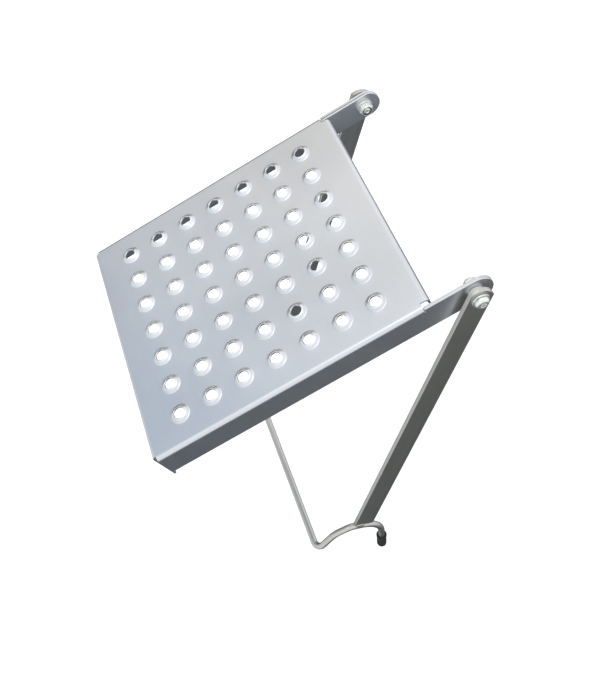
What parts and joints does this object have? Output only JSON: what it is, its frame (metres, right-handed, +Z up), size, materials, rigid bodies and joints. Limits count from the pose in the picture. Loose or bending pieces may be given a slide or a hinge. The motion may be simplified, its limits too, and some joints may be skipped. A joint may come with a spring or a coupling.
{
  "type": "ladder work platform",
  "caption": "Sheet-steel tray that hangs on ladder rungs: raised drain holes, side arms, and a hinged strut frame whose bent round bar hooks over the rung below.",
  "frame": {"origin": "on the front face of the rear lip, at mid width, level with the bottom edges of the side flanges, where the upper rung seats", "axes": "+Z up and square to the deck, -Y away from the ladder towards the pivots, +X along the rungs"},
  "size_m": [0.3082, 0.3498, 0.4099],
  "materials": {
    "coated_sheet": "satin silver coating on folded sheet steel",
    "coated_bar": "satin silver-grey coating on flat and round steel bar",
    "zinc_hardware": "bright zinc plating",
    "black_rubber": "matt moulded rubber",
    "lock_nylon": "dark moulded nylon"
  },
  "bodies": {
    "platform": {"deck_pan": "coated_sheet", "arm_plate_left": "coated_sheet", "spacer_left": "zinc_hardware", "head_washer_left": "zinc_hardware", "nut_washer_left": "zinc_hardware", "lock_nut_left": "zinc_hardware", "nut_insert_left": "lock_nylon", "pivot_bolt_left": "zinc_hardware", "arm_plate_right": "coated_sheet", "spacer_right": "zinc_hardware", "head_washer_right": "zinc_hardware", "nut_washer_right": "zinc_hardware", "lock_nut_right": "zinc_hardware", "nut_insert_right": "lock_nylon", "pivot_bolt_right": "zinc_hardware"},
    "support_frame": {"hook_rod": "coated_bar", "strut_left": "coated_bar", "end_cap_left": "black_rubber", "weld_outer_left": "coated_bar", "weld_inner_left": "coated_bar", "strut_right": "coated_bar", "end_cap_right": "black_rubber", "weld_outer_right": "coated_bar", "weld_inner_right": "coated_bar"}
  },
  "joints": [
    {"name": "support_frame_fold", "type": "hinge", "parent": "platform", "child": "support_frame", "pos_m": [0, -0.33, 0.015], "axis": [1, 0, 0], "range_deg": [-128, 52]}
  ]
}
